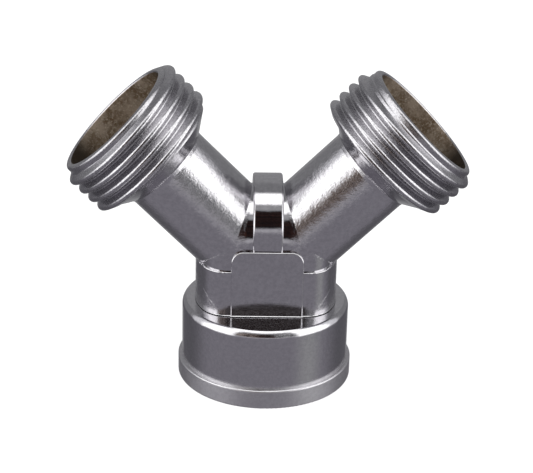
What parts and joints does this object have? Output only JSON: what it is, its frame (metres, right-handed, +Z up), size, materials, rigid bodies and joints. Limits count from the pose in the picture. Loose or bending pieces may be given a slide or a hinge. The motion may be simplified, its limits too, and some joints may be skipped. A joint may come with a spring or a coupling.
{
  "type": "hose splitter",
  "caption": "Chromed Y hose splitter: a round female coupling nut below feeds two male threaded outlets that lean apart at 45 degrees, with a web in the crotch.",
  "frame": {"origin": "centre of the open end of the inlet nut, where the splitter stands on a table", "axes": "+Z up along the inlet's axis, away from the tap's hose end; +X towards the right outlet; -Y towards the side with the raised pad"},
  "size_m": [0.0704, 0.0314, 0.0571],
  "materials": {
    "chrome_casting": "bright chrome plate over an unpolished zinc casting, with a fine orange-peel ripple",
    "chrome_nut": "bright chrome plate over a turned nut, smooth",
    "spring_wire": "drawn spring wire, satin",
    "washer_rubber": "moulded black rubber, matte"
  },
  "bodies": {
    "nut": {"swivel_nut": "chrome_nut", "hose_washer": "washer_rubber"},
    "splitter": {"y_body": "chrome_casting", "retaining_ring": "spring_wire"}
  },
  "joints": [
    {"name": "inlet_swivel", "type": "hinge", "parent": "nut", "child": "splitter", "pos_m": [0, 0, 0.013], "axis": [0, 0, 1], "continuous": true}
  ]
}
